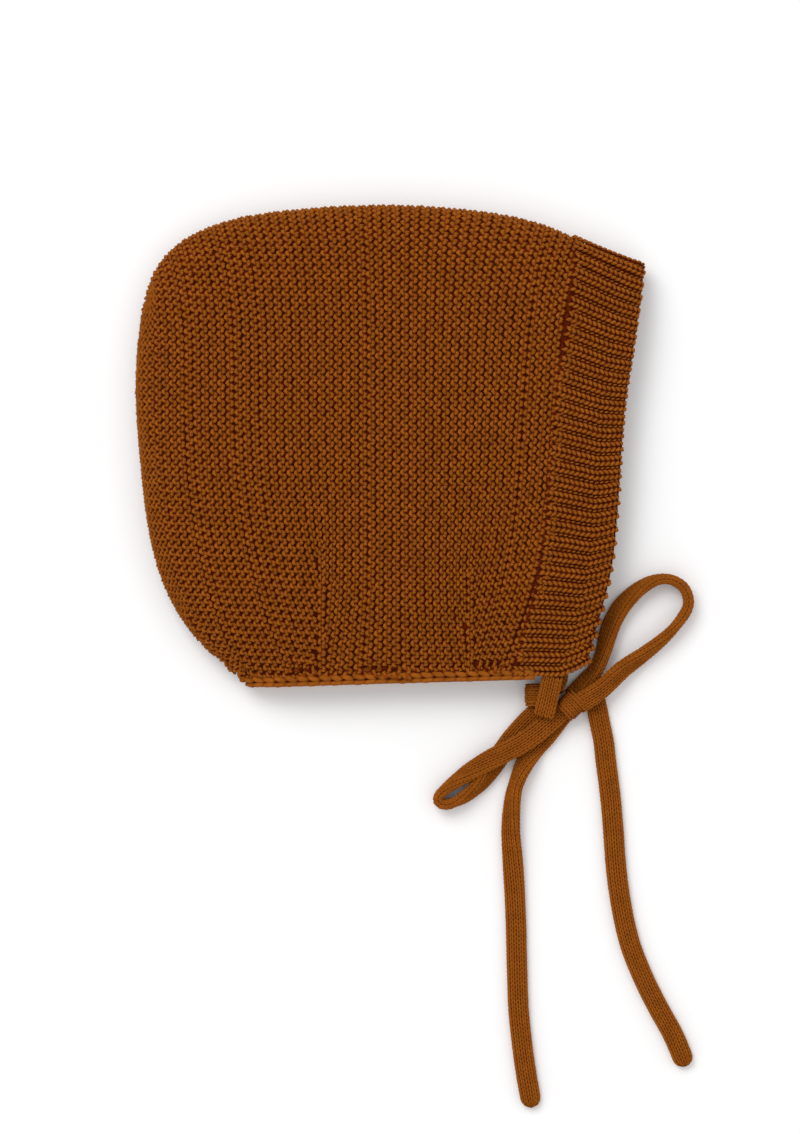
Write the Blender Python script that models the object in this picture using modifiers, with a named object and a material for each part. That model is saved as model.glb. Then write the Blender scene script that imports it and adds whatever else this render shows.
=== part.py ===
"""Knitted baby bonnet, folded flat on its side with its ties in a bow.

+X points from the back of the head to the face, +Y from the neck to the crown, +Z up from the
surface that the bonnet lies on. The origin is under the middle of the bonnet, without its ties.
"""

import math

import bmesh
import bpy
from mathutils import Vector

# Sizes of the bonnet, in metres
BONNET_DEPTH = 0.1633
BONNET_HEIGHT = 0.1555
WALL = 0.0032
CROWN_PUFF = 0.0185
MOUTH_SPREAD = 0.0102
PUFF_REACH = 0.024
FOLD_LIFT = 0.0050
FOLD_REACH_UNDER = 0.0085
FOLD_REACH_OVER = 0.026
FOLD_FULLNESS = 2.3
RIB_WIDTH = 0.0204
RIB_PITCH = 0.0046
RIB_RELIEF = 0.0009
RIB_LIFT = 0.0001
NECK_EDGE_WIDTH = 0.0050
CORNER_ROUNDING = 0.0046
SEAM_GAP = 0.0006
FLOOR_GAP = 0.0003

# Sizes of the flat ties, in metres
TIE_WIDTH = 0.0063
TIE_THICKNESS = 0.0030
TIE_POINT_SPACING = 0.0050
WRAP_LENGTH = 0.0090
WRAP_HEIGHT = 0.0090
WRAP_TURN = math.radians(44)
HALF_KNOT_LENGTH = 0.0082
HALF_KNOT_HEIGHT = 0.0068
KNOT_ROUNDING = 0.0009

# The crown and back fold, from the face to the neck: share of the depth, share of the height
FOLD_LINE = [
    (1.000, 0.876),
    (0.940, 0.900),
    (0.879, 0.925),
    (0.772, 0.970),
    (0.620, 0.994),
    (0.490, 1.000),
    (0.344, 0.994),
    (0.196, 0.973),
    (0.110, 0.939),
    (0.052, 0.892),
    (0.020, 0.820),
    (0.004, 0.708),
    (0.000, 0.605),
    (0.009, 0.472),
    (0.026, 0.323),
    (0.057, 0.211),
    (0.110, 0.115),
    (0.172, 0.053),
    (0.231, 0.000),
]

# The face edge from the crown to the neck: share of the depth, share of the height
FACE_LINE = [
    (1.000, 0.876),
    (0.976, 0.697),
    (0.959, 0.575),
    (0.942, 0.329),
    (0.924, 0.207),
    (0.877, 0.027),
]

# Where the knot's middle lies from the front lower corner, along X and Y
KNOT_OFFSET = (-0.0038, -0.0087)
HALF_KNOT_OFFSET = (-0.0107, 0.0031)

# Each route: X and Y from the knot's middle, height over the surface, tilt in degrees from flat
TIE_NEAR_ROUTE = [
    (-0.0064, 0.0080, 0.0112, 0),
    (-0.0072, 0.0041, 0.0098, 0),
    (-0.0080, 0.0003, 0.0094, 0),
    (-0.0087, -0.0025, 0.0084, 0),
]
TIE_FAR_ROUTE = [
    (-0.0040, 0.0078, 0.0025, 35),
    (-0.0041, 0.0067, 0.0029, 50),
    (-0.0042, 0.0053, 0.0032, 70),
]
LOOP_RIGHT_ROUTE = [
    (0.0048, 0.0019, 0.0067, 15),
    (0.0097, 0.0052, 0.0063, 25),
    (0.0164, 0.0113, 0.0050, 40),
    (0.0237, 0.0165, 0.0040, 60),
    (0.0304, 0.0219, 0.0035, 78),
    (0.0351, 0.0273, 0.0033, 90),
    (0.0375, 0.0321, 0.0033, 90),
    (0.0363, 0.0370, 0.0033, 90),
    (0.0323, 0.0398, 0.0033, 90),
    (0.0275, 0.0399, 0.0033, 85),
    (0.0221, 0.0372, 0.0032, 65),
    (0.0170, 0.0324, 0.0028, 45),
    (0.0136, 0.0270, 0.0027, 40),
    (0.0117, 0.0219, 0.0028, 45),
    (0.0104, 0.0169, 0.0031, 60),
    (0.0080, 0.0114, 0.0031, 60),
    (0.0050, 0.0076, 0.0029, 45),
    (0.0024, 0.0048, 0.0027, 35),
]
LOOP_LEFT_ROUTE = [
    (-0.0034, -0.0023, 0.0049, 0),
    (-0.0068, -0.0054, 0.0049, 0),
    (-0.0110, -0.0089, 0.0049, 0),
    (-0.0164, -0.0126, 0.0050, 0),
    (-0.0218, -0.0154, 0.0050, 0),
    (-0.0269, -0.0181, 0.0046, 20),
    (-0.0326, -0.0216, 0.0039, 45),
    (-0.0377, -0.0251, 0.0034, 75),
    (-0.0412, -0.0280, 0.0033, 90),
    (-0.0425, -0.0301, 0.0033, 90),
    (-0.0413, -0.0316, 0.0033, 90),
    (-0.0386, -0.0316, 0.0033, 90),
    (-0.0342, -0.0296, 0.0032, 75),
    (-0.0294, -0.0256, 0.0030, 55),
    (-0.0256, -0.0207, 0.0024, 25),
    (-0.0224, -0.0159, 0.0017, 0),
    (-0.0189, -0.0111, 0.0017, 0),
    (-0.0151, -0.0067, 0.0017, 0),
    (-0.0114, -0.0030, 0.0018, 0),
]
TAIL_LEFT_ROUTE = [
    (-0.0026, -0.0031, 0.0016, 0),
    (-0.0046, -0.0057, 0.0016, 0),
    (-0.0081, -0.0102, 0.0016, 0),
    (-0.0118, -0.0143, 0.0016, 0),
    (-0.0149, -0.0191, 0.0029, 40),
    (-0.0173, -0.0248, 0.0031, 62),
    (-0.0186, -0.0302, 0.0030, 55),
    (-0.0192, -0.0398, 0.0026, 35),
    (-0.0186, -0.0493, 0.0022, 18),
    (-0.0180, -0.0588, 0.0018, 4),
    (-0.0175, -0.0700, 0.0016, 0),
    (-0.0172, -0.0827, 0.0016, 0),
    (-0.0167, -0.0970, 0.0016, 0),
    (-0.0156, -0.1081, 0.0016, 0),
    (-0.0143, -0.1177, 0.0016, 0),
    (-0.0129, -0.1256, 0.0016, 0),
    (-0.0126, -0.1285, 0.0016, 0),
]
TAIL_RIGHT_ROUTE = [
    (0.0076, 0.0025, 0.0016, 0),
    (0.0084, -0.0013, 0.0016, 0),
    (0.0094, -0.0064, 0.0016, 0),
    (0.0105, -0.0118, 0.0016, 0),
    (0.0113, -0.0188, 0.0016, 0),
    (0.0122, -0.0254, 0.0016, 0),
    (0.0130, -0.0328, 0.0016, 0),
    (0.0137, -0.0413, 0.0016, 0),
    (0.0143, -0.0499, 0.0016, 0),
    (0.0153, -0.0588, 0.0016, 0),
    (0.0170, -0.0687, 0.0016, 0),
    (0.0194, -0.0779, 0.0016, 0),
    (0.0234, -0.0878, 0.0016, 0),
    (0.0280, -0.0970, 0.0016, 0),
    (0.0326, -0.1053, 0.0016, 0),
    (0.0358, -0.1129, 0.0016, 0),
    (0.0367, -0.1154, 0.0016, 0),
]

# How finely the surfaces are divided
FOLD_SAMPLES_PER_SPAN = 10
HOOD_STATIONS = 40
SEAM_BOW_SHARE = 0.3
HOOD_STEPS_OVER = 12
HOOD_STEPS_UNDER = 9
RIB_LAYER_STEPS = 60
RIB_STEPS_ACROSS = 3
RIB_STEPS_PER_RIB = 4
NECK_STEPS = 20
NECK_STEPS_ACROSS = 2
TIE_BEVEL_RESOLUTION = 2
MERGE_DISTANCE = 0.00002

RUST = (0.180, 0.042, 0.0045, 1.0)
RUST_TIE = (0.215, 0.058, 0.0100, 1.0)
KNIT_ROUGHNESS = 0.9


def smooth_point(points, span, share):
    """Point on a Catmull-Rom curve through the given points, within one span."""
    before = points[max(span - 1, 0)]
    start = points[span]
    end = points[span + 1]
    after = points[min(span + 2, len(points) - 1)]
    s2 = share * share
    s3 = s2 * share
    return (0.5 * (2 * start + (end - before) * share
                   + (2 * before - 5 * start + 4 * end - after) * s2
                   + (3 * start - before - 3 * end + after) * s3))


def smooth_line(points, per_span):
    line = []
    for span in range(len(points) - 1):
        for step in range(per_span):
            line.append(smooth_point(points, span, step / per_span))
    line.append(points[-1].copy())
    return line


def line_lengths(line):
    lengths = [0.0]
    for a, b in zip(line, line[1:]):
        lengths.append(lengths[-1] + (b - a).length)
    return lengths


def point_at(line, lengths, distance):
    distance = min(max(distance, 0.0), lengths[-1])
    for index in range(len(line) - 1):
        if distance <= lengths[index + 1]:
            span = lengths[index + 1] - lengths[index]
            share = (distance - lengths[index]) / span if span > 0 else 0.0
            return line[index].lerp(line[index + 1], share)
    return line[-1].copy()


def plan_points(table):
    """Places from shares of the depth and height, about the middle of the bonnet."""
    return [Vector(((along - 0.5) * BONNET_DEPTH, (up - 0.5) * BONNET_HEIGHT))
            for along, up in table]


def inset_line(line, distance):
    """The line moved sideways, towards the inside of the bonnet, by half a wall."""
    moved = []
    for index, point in enumerate(line):
        ahead = line[min(index + 1, len(line) - 1)]
        behind = line[max(index - 1, 0)]
        run = (ahead - behind).normalized()
        moved.append(point + Vector((-run.y, run.x)) * distance)
    return moved


class Plan:
    """The bonnet's outline in plan, and the heights of its two layers."""

    def __init__(self):
        outer = smooth_line(plan_points(FOLD_LINE), FOLD_SAMPLES_PER_SPAN)
        self.fold = inset_line(outer, WALL / 2)
        self.fold_lengths = line_lengths(self.fold)
        self.face = smooth_line(plan_points(FACE_LINE), FOLD_SAMPLES_PER_SPAN)
        self.back_corner = self.fold[-1]
        self.front_corner = self.face[-1]

    def face_x(self, y):
        """X of the face edge at a height of the plan."""
        for upper, lower in zip(self.face, self.face[1:]):
            if lower.y <= y <= upper.y:
                share = (upper.y - y) / (upper.y - lower.y)
                return upper.x + (lower.x - upper.x) * share
        return self.face[0].x if y > self.face[0].y else self.face[-1].x

    def neck_y(self, x):
        """Y of the neck edge at a place along the depth."""
        run = self.front_corner.x - self.back_corner.x
        share = (x - self.back_corner.x) / run
        return self.back_corner.y + (self.front_corner.y - self.back_corner.y) * share

    def from_fold(self, point):
        """Distance of a plan point from the fold."""
        best = None
        for a, b in zip(self.fold, self.fold[1:]):
            run = b - a
            share = min(max((point - a).dot(run) / run.length_squared, 0.0), 1.0)
            distance = (point - a - run * share).length
            if best is None or distance < best:
                best = distance
        return best

    def height_under(self, point):
        """Height of the lower layer's middle, flat but for its turn up to the fold."""
        inward = min(self.from_fold(point) / FOLD_REACH_UNDER, 1.0)
        drop = (1 - (1 - inward) ** FOLD_FULLNESS) ** (1 / FOLD_FULLNESS)
        return WALL / 2 + FOLD_LIFT * (1 - drop)

    def height_over(self, point):
        """Height of the upper layer's middle, domed over the hollow."""
        from_face = max(self.face_x(point.y) - point.x, 0.0)
        from_neck = max(point.y - self.neck_y(point.x), 0.0)
        puff = (1 - math.exp(-from_face / PUFF_REACH)) * (1 - math.exp(-from_neck / PUFF_REACH))
        top = MOUTH_SPREAD + (CROWN_PUFF - MOUTH_SPREAD) * puff
        inward = min(self.from_fold(point) / FOLD_REACH_OVER, 1.0)
        rise = (1 - (1 - inward) ** FOLD_FULLNESS) ** (1 / FOLD_FULLNESS)
        return WALL / 2 + FOLD_LIFT + (top - FOLD_LIFT) * rise


def fold_crossing(plan, inside, from_neck=False):
    """Distance along the fold at which a signed measure of its points first turns positive."""
    order = range(len(plan.fold) - 1)
    if from_neck:
        order = reversed(order)
    for index in order:
        first, second = (index + 1, index) if from_neck else (index, index + 1)
        before = inside(plan.fold[first])
        after = inside(plan.fold[second])
        if before <= 0 < after:
            share = -before / (after - before)
            reach = plan.fold_lengths[second] - plan.fold_lengths[first]
            return plan.fold_lengths[first] + reach * share
    return plan.fold_lengths[-1] if from_neck else 0.0


def folded_section(plan, plan_at, steps_over, steps_under):
    """Points from the open edge over the upper layer, round the fold and back below.

    plan_at gives the plan point for a share from the open edge, 0, to the fold, 1. The steps
    close up towards the fold, where the wall turns.
    """
    section = []
    for step in range(steps_over + 1):
        point = plan_at(1 - (1 - step / steps_over) ** 2)
        height = plan.height_over(point) if step < steps_over else WALL / 2 + FOLD_LIFT
        section.append(Vector((point.x, point.y, height)))
    for step in range(1, steps_under + 1):
        point = plan_at(1 - (step / steps_under) ** 2)
        section.append(Vector((point.x, point.y, plan.height_under(point))))
    return section


def bent_grid(name, sections):
    """A flat grid whose rows are laid along the given sections."""
    rows = len(sections)
    columns = len(sections[0])
    bm = bmesh.new()
    bmesh.ops.create_grid(bm, x_segments=columns - 1, y_segments=rows - 1, size=1.0)
    for vert in bm.verts:
        column = round((vert.co.x + 1) / 2 * (columns - 1))
        row = round((vert.co.y + 1) / 2 * (rows - 1))
        vert.co = sections[row][column]
    bmesh.ops.remove_doubles(bm, verts=bm.verts, dist=MERGE_DISTANCE)
    bmesh.ops.recalc_face_normals(bm, faces=bm.faces)
    mesh = bpy.data.meshes.new(name)
    bm.to_mesh(mesh)
    bm.free()
    return mesh


def knit_wall(name, sections, material, collection):
    """A knitted wall of even thickness about the given sections."""
    obj = bpy.data.objects.new(name, bent_grid(name, sections))
    collection.objects.link(obj)
    obj.data.materials.append(material)
    obj.data.shade_smooth()
    wall = obj.modifiers.new("wall", "SOLIDIFY")
    wall.thickness = WALL
    wall.offset = 0.0
    return obj


def make_hood(plan, material, collection):
    """The garter-stitch hood: sections fan out from its front lower corner to the fold."""
    base_y = NECK_EDGE_WIDTH + SEAM_GAP
    corner_x = plan.front_corner.x - RIB_WIDTH - SEAM_GAP
    corner = Vector((corner_x, plan.neck_y(corner_x) + base_y))

    def seam_x(y):
        return plan.face_x(y) - RIB_WIDTH - SEAM_GAP

    start = fold_crossing(plan, lambda point: seam_x(point.y) - point.x)
    end = fold_crossing(plan, lambda point: point.y - plan.neck_y(point.x) - base_y, True)
    top = point_at(plan.fold, plan.fold_lengths, start)
    sections = []
    for station in range(HOOD_STATIONS + 1):
        share = station / HOOD_STATIONS
        rim = point_at(plan.fold, plan.fold_lengths, start + (end - start) * share)
        bowing = max(1 - share / SEAM_BOW_SHARE, 0.0)

        def plan_at(q, rim=rim, bowing=bowing):
            on_chord = corner.lerp(top, q)
            bow = Vector((seam_x(on_chord.y) - on_chord.x, 0))
            return corner.lerp(rim, q) + bow * bowing

        sections.append(folded_section(plan, plan_at, HOOD_STEPS_OVER, HOOD_STEPS_UNDER))
    return knit_wall("hood", sections, material, collection)


def make_face_rib(plan, material, collection):
    """The ribbed band: a folded strip whose ribs run from the hood to the face."""
    columns = []
    for step in range(RIB_STEPS_ACROSS + 1):
        across = step / RIB_STEPS_ACROSS
        inward = RIB_WIDTH * (1 - across)
        last = max(0.0, 1 - (1 - across) * RIB_STEPS_ACROSS)
        bottom = plan.front_corner.y + CORNER_ROUNDING * last
        foot = Vector((plan.face_x(bottom) - inward, bottom))
        reach = fold_crossing(plan, lambda point: plan.face_x(point.y) - inward - point.x)
        top = point_at(plan.fold, plan.fold_lengths, reach)

        def plan_at(q, foot=foot, top=top, inward=inward):
            y = foot.y + (top.y - foot.y) * q
            return Vector((plan.face_x(y) - inward if q < 1 else top.x, y))

        columns.append(folded_section(plan, plan_at, RIB_LAYER_STEPS, RIB_LAYER_STEPS))
    lengths = [line_lengths(column) for column in columns]
    middle = lengths[RIB_STEPS_ACROSS // 2][-1]
    ribs = max(round(middle / RIB_PITCH), 2)
    rows = ribs * RIB_STEPS_PER_RIB
    lift = Vector((0, 0, RIB_RELIEF / 2 + RIB_LIFT))
    sections = []
    for row in range(rows + 1):
        share = row / rows
        calm = min(row, rows - row, RIB_STEPS_PER_RIB) / RIB_STEPS_PER_RIB
        swell = math.cos(2 * math.pi * ribs * share) * calm * RIB_RELIEF / 2
        section = []
        for column, along in zip(columns, lengths):
            here = point_at(column, along, along[-1] * share)
            ahead = point_at(column, along, along[-1] * share + RIB_PITCH / 4)
            behind = point_at(column, along, along[-1] * share - RIB_PITCH / 4)
            run = (ahead - behind).normalized()
            inward = Vector((0, run.z, -run.y)).normalized()
            section.append(here + inward * swell + lift)
        sections.append(section)
    return knit_wall("face_rib", sections, material, collection)


def make_neck_edge(plan, material, collection):
    """The bound-off band along the neck, folded at the back of the head."""
    sections = []
    front_x = plan.front_corner.x - RIB_WIDTH - SEAM_GAP
    for step in range(NECK_STEPS_ACROSS + 1):
        rise = NECK_EDGE_WIDTH * step / NECK_STEPS_ACROSS
        foot = Vector((front_x, plan.neck_y(front_x) + rise))
        reach = fold_crossing(plan, lambda point: point.y - plan.neck_y(point.x) - rise, True)
        back = point_at(plan.fold, plan.fold_lengths, reach)

        def plan_at(q, foot=foot, back=back):
            return foot.lerp(back, q)

        sections.append(folded_section(plan, plan_at, NECK_STEPS, NECK_STEPS))
    return knit_wall("neck_edge", sections, material, collection)


def route_line(plan, route):
    """Points with tilts on a smooth curve through a route, closer where the route bends."""
    knot_x = plan.front_corner.x + KNOT_OFFSET[0]
    knot_y = plan.front_corner.y + KNOT_OFFSET[1]
    points = [Vector((knot_x + x, knot_y + y, z, math.radians(tilt))) for x, y, z, tilt in route]
    line = []
    for span, (a, b) in enumerate(zip(points, points[1:])):
        steps = math.ceil((b - a).xyz.length / TIE_POINT_SPACING)
        for step in range(steps):
            line.append(smooth_point(points, span, step / steps))
    line.append(points[-1])
    return line


def make_tie(plan, name, route, material, collection):
    """A flat knitted cord: a stadium section drawn along a route and tilted as it goes."""
    line = route_line(plan, route)
    curve = bpy.data.curves.new(name, "CURVE")
    curve.dimensions = "3D"
    curve.twist_mode = "Z_UP"
    curve.bevel_depth = TIE_THICKNESS / 2
    curve.extrude = (TIE_WIDTH - TIE_THICKNESS) / 2
    curve.bevel_resolution = TIE_BEVEL_RESOLUTION
    curve.use_fill_caps = True
    spline = curve.splines.new("POLY")
    spline.points.add(len(line) - 1)
    for target, point in zip(spline.points, line):
        target.co = (point.x, point.y, point.z, 1.0)
        target.tilt = point.w - math.pi / 2
    obj = bpy.data.objects.new(name, curve)
    collection.objects.link(obj)
    curve.materials.append(material)
    return obj


def make_barrel(name, place, turn, length, height, material, collection):
    """A turn of tie seen as a short barrel of the tie's width, rounded at its rims."""
    bpy.ops.mesh.primitive_cylinder_add(vertices=20, radius=0.5, depth=1.0)
    obj = bpy.context.active_object
    obj.name = name
    obj.data.name = name
    for vert in obj.data.vertices:
        x, y, z = vert.co
        vert.co = (z * TIE_WIDTH, y * length, -x * height)
    obj.location = place
    obj.rotation_euler = (0, 0, turn)
    for owner in list(obj.users_collection):
        owner.objects.unlink(obj)
    collection.objects.link(obj)
    obj.data.materials.append(material)
    rounding = obj.modifiers.new("rounding", "BEVEL")
    rounding.width = KNOT_ROUNDING
    rounding.segments = 2
    rounding.limit_method = "ANGLE"
    rounding.angle_limit = math.radians(50)
    obj.data.shade_smooth()
    return obj


def make_knot(plan, material, collection):
    knot = Vector((plan.front_corner.x + KNOT_OFFSET[0], plan.front_corner.y + KNOT_OFFSET[1], 0))
    half = knot + Vector((HALF_KNOT_OFFSET[0], HALF_KNOT_OFFSET[1], 0))
    rise = Vector((0, 0, FLOOR_GAP + WRAP_HEIGHT / 2))
    make_barrel("bow_wrap", knot + rise, WRAP_TURN, WRAP_LENGTH, WRAP_HEIGHT, material, collection)
    rise = Vector((0, 0, FLOOR_GAP + HALF_KNOT_HEIGHT / 2))
    make_barrel("half_knot", half + rise, math.pi / 2, HALF_KNOT_LENGTH, HALF_KNOT_HEIGHT,
                material, collection)


def knit_material(name, colour):
    material = bpy.data.materials.new(name)
    material.use_nodes = True
    shader = material.node_tree.nodes["Principled BSDF"]
    shader.inputs["Base Color"].default_value = colour
    shader.inputs["Roughness"].default_value = KNIT_ROUGHNESS
    shader.inputs["Metallic"].default_value = 0.0
    material.diffuse_color = colour
    return material


def main():
    for obj in list(bpy.data.objects):
        bpy.data.objects.remove(obj, do_unlink=True)
    collection = bpy.data.collections.new("baby_bonnet")
    bpy.context.scene.collection.children.link(collection)
    wool = knit_material("rust_wool", RUST)
    cord = knit_material("rust_tie", RUST_TIE)
    plan = Plan()
    make_hood(plan, wool, collection)
    make_face_rib(plan, wool, collection)
    make_neck_edge(plan, wool, collection)
    make_knot(plan, cord, collection)
    routes = {
        "tie_near": TIE_NEAR_ROUTE,
        "tie_far": TIE_FAR_ROUTE,
        "loop_right": LOOP_RIGHT_ROUTE,
        "loop_left": LOOP_LEFT_ROUTE,
        "tail_right": TAIL_RIGHT_ROUTE,
        "tail_left": TAIL_LEFT_ROUTE,
    }
    for name, route in routes.items():
        make_tie(plan, name, route, cord, collection)


main()
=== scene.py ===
"""Looks of a knitted baby bonnet that lies folded flat on its side, with its ties in a bow.

+X points from the back of the head to the face, +Y from the neck to the crown, +Z up. Metres.
"""

import math

import bmesh
import bpy
import numpy as np
from bpy.props import FloatProperty, FloatVectorProperty, IntProperty, PointerProperty
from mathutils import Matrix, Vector
from mathutils.bvhtree import BVHTree
from mathutils.kdtree import KDTree


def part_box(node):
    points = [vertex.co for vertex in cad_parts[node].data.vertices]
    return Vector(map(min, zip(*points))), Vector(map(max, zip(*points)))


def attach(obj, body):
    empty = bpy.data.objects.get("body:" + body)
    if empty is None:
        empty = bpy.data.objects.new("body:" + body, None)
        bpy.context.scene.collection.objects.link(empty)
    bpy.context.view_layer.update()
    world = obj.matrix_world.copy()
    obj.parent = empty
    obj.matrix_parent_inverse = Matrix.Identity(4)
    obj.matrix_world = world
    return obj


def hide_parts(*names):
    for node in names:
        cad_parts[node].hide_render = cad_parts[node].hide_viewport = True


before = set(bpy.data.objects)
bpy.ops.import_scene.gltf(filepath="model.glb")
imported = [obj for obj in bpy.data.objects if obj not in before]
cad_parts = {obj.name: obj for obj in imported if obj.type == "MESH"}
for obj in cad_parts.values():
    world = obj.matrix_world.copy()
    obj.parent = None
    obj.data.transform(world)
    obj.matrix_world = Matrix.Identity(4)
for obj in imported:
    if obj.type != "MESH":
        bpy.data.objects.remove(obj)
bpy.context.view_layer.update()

bl_info = {
    "name": "Knitted Baby Bonnet",
    "version": (1, 0, 0),
    "blender": (4, 5, 0),
    "location": "View3D > Sidebar > Bonnet",
    "description": "Knits the hood, the face rib, the neck edge and the bow of a baby bonnet",
    "category": "Object",
}

MM = 0.001

# Where the parts of the bonnet lie
WALL = 3.2 * MM
FOLD_HEIGHT = 6.6 * MM
LAYER_SLACK = 0.3 * MM
SEED_Y = 19.6 * MM
KNOT = Vector((57.76 * MM, -82.25 * MM, 0.0))
FLOOR_GAP = 0.02 * MM

# How the skins under the stitches are made
WELD = 0.002 * MM
SHARP = math.radians(50)
SKIN_SMOOTHINGS = 3

# The two shaping lines up from the neck's edge: X of the line, Y of its upper end
DARTS = [(-21.6 * MM, -31.3 * MM), (25.4 * MM, -40.9 * MM)]

# How the ridges lean: degrees, for places in millimetres
CROWN_FAN = 0.3365
CROWN_FAN_X, CROWN_FAN_Y, CROWN_FAN_HEIGHT = 3.2, 22.7, 46.1
FACE_LEAN = 4.0
FACE_LEAN_X, FACE_LEAN_WIDTH = 3.0, 47.0
BACK_LEAN, FRONT_LEAN, MIDDLE_LEAN = 20.0, 17.0, 9.0
BACK_LEAN_Y, BACK_LEAN_HEIGHT = 14.8, 71.9
FRONT_LEAN_Y, FRONT_LEAN_HEIGHT = -7.5, 49.6
MIDDLE_LEAN_Y, MIDDLE_LEAN_HEIGHT = -36.0, 21.0

# The garter knitting's lower end over the neck edge, and the neck chain's reach under the tie
CHAIN_RISE = 3.7 * MM
CHAIN_REACH = 5.5 * MM
CHAIN_STITCH = 3.6 * MM

# Routes of the ties: X and Y from the knot's middle, height, tilt in degrees from flat
TIE_NEAR_ROUTE = [
    (-0.0064, 0.0080, 0.0112, 0),
    (-0.0072, 0.0041, 0.0098, 0),
    (-0.0080, 0.0003, 0.0094, 0),
    (-0.0087, -0.0025, 0.0084, 0),
]
TIE_FAR_ROUTE = [
    (-0.0040, 0.0078, 0.0025, 35),
    (-0.0041, 0.0067, 0.0029, 50),
    (-0.0042, 0.0053, 0.0032, 70),
]
LOOP_RIGHT_ROUTE = [
    (0.0048, 0.0019, 0.0067, 15),
    (0.0097, 0.0052, 0.0063, 25),
    (0.0164, 0.0113, 0.0050, 40),
    (0.0237, 0.0165, 0.0040, 60),
    (0.0304, 0.0219, 0.0035, 78),
    (0.0351, 0.0273, 0.0033, 90),
    (0.0375, 0.0321, 0.0033, 90),
    (0.0363, 0.0370, 0.0033, 90),
    (0.0323, 0.0398, 0.0033, 90),
    (0.0275, 0.0399, 0.0033, 85),
    (0.0221, 0.0372, 0.0032, 65),
    (0.0170, 0.0324, 0.0028, 45),
    (0.0136, 0.0270, 0.0027, 40),
    (0.0117, 0.0219, 0.0028, 45),
    (0.0104, 0.0169, 0.0031, 60),
    (0.0080, 0.0114, 0.0031, 60),
    (0.0050, 0.0076, 0.0029, 45),
    (0.0024, 0.0048, 0.0027, 35),
]
LOOP_LEFT_ROUTE = [
    (-0.0034, -0.0023, 0.0049, 0),
    (-0.0068, -0.0054, 0.0049, 0),
    (-0.0110, -0.0089, 0.0049, 0),
    (-0.0164, -0.0126, 0.0050, 0),
    (-0.0218, -0.0154, 0.0050, 0),
    (-0.0269, -0.0181, 0.0046, 20),
    (-0.0326, -0.0216, 0.0039, 45),
    (-0.0377, -0.0251, 0.0034, 75),
    (-0.0412, -0.0280, 0.0033, 90),
    (-0.0425, -0.0301, 0.0033, 90),
    (-0.0413, -0.0316, 0.0033, 90),
    (-0.0386, -0.0316, 0.0033, 90),
    (-0.0342, -0.0296, 0.0032, 75),
    (-0.0294, -0.0256, 0.0030, 55),
    (-0.0256, -0.0207, 0.0024, 25),
    (-0.0224, -0.0159, 0.0017, 0),
    (-0.0189, -0.0111, 0.0017, 0),
    (-0.0151, -0.0067, 0.0017, 0),
    (-0.0114, -0.0030, 0.0018, 0),
]
TAIL_LEFT_ROUTE = [
    (-0.0026, -0.0031, 0.0016, 0),
    (-0.0046, -0.0057, 0.0016, 0),
    (-0.0081, -0.0102, 0.0016, 0),
    (-0.0118, -0.0143, 0.0016, 0),
    (-0.0149, -0.0191, 0.0029, 40),
    (-0.0173, -0.0248, 0.0031, 62),
    (-0.0186, -0.0302, 0.0030, 55),
    (-0.0192, -0.0398, 0.0026, 35),
    (-0.0186, -0.0493, 0.0022, 18),
    (-0.0180, -0.0588, 0.0018, 4),
    (-0.0175, -0.0700, 0.0016, 0),
    (-0.0172, -0.0827, 0.0016, 0),
    (-0.0167, -0.0970, 0.0016, 0),
    (-0.0156, -0.1081, 0.0016, 0),
    (-0.0143, -0.1177, 0.0016, 0),
    (-0.0129, -0.1256, 0.0016, 0),
    (-0.0126, -0.1285, 0.0016, 0),
]
TAIL_RIGHT_ROUTE = [
    (0.0076, 0.0025, 0.0016, 0),
    (0.0084, -0.0013, 0.0016, 0),
    (0.0094, -0.0064, 0.0016, 0),
    (0.0105, -0.0118, 0.0016, 0),
    (0.0113, -0.0188, 0.0016, 0),
    (0.0122, -0.0254, 0.0016, 0),
    (0.0130, -0.0328, 0.0016, 0),
    (0.0137, -0.0413, 0.0016, 0),
    (0.0143, -0.0499, 0.0016, 0),
    (0.0153, -0.0588, 0.0016, 0),
    (0.0170, -0.0687, 0.0016, 0),
    (0.0194, -0.0779, 0.0016, 0),
    (0.0234, -0.0878, 0.0016, 0),
    (0.0280, -0.0970, 0.0016, 0),
    (0.0326, -0.1053, 0.0016, 0),
    (0.0358, -0.1129, 0.0016, 0),
    (0.0367, -0.1154, 0.0016, 0),
]


class BonnetKnit(bpy.types.PropertyGroup):
    """Sizes of the bonnet's knitting"""

    ridge_pitch: FloatProperty(
        name="Ridge pitch", description="Distance between garter ridges",
        default=0.00262, unit="LENGTH")
    stitch_pitch: FloatProperty(
        name="Stitch pitch", description="Length of a garter stitch along its ridge",
        default=0.00258, unit="LENGTH")
    yarn_radius: FloatProperty(
        name="Yarn radius", description="Radius of the hood's yarn",
        default=0.00058, unit="LENGTH")
    rib_pitch: FloatProperty(
        name="Rib pitch", description="Distance between the ribs round the face",
        default=0.0046, unit="LENGTH")
    rib_stitch: FloatProperty(
        name="Rib stitch", description="Length of a stitch along a rib",
        default=0.00165, unit="LENGTH")
    unevenness: FloatProperty(
        name="Unevenness", description="How far stitches stray from an even row",
        default=0.00012, unit="LENGTH")


class BonnetTies(bpy.types.PropertyGroup):
    """Sizes of the bonnet's ties"""

    width: FloatProperty(
        name="Width", description="Width of the flat knitted tie",
        default=0.0063, unit="LENGTH")
    thickness: FloatProperty(
        name="Thickness", description="Thickness of the flat knitted tie",
        default=0.0030, unit="LENGTH")
    wales: IntProperty(
        name="Wales", description="Columns of stitches round the tie", default=10)
    stitch: FloatProperty(
        name="Stitch", description="Length of a stitch along the tie",
        default=0.00135, unit="LENGTH")


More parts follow.
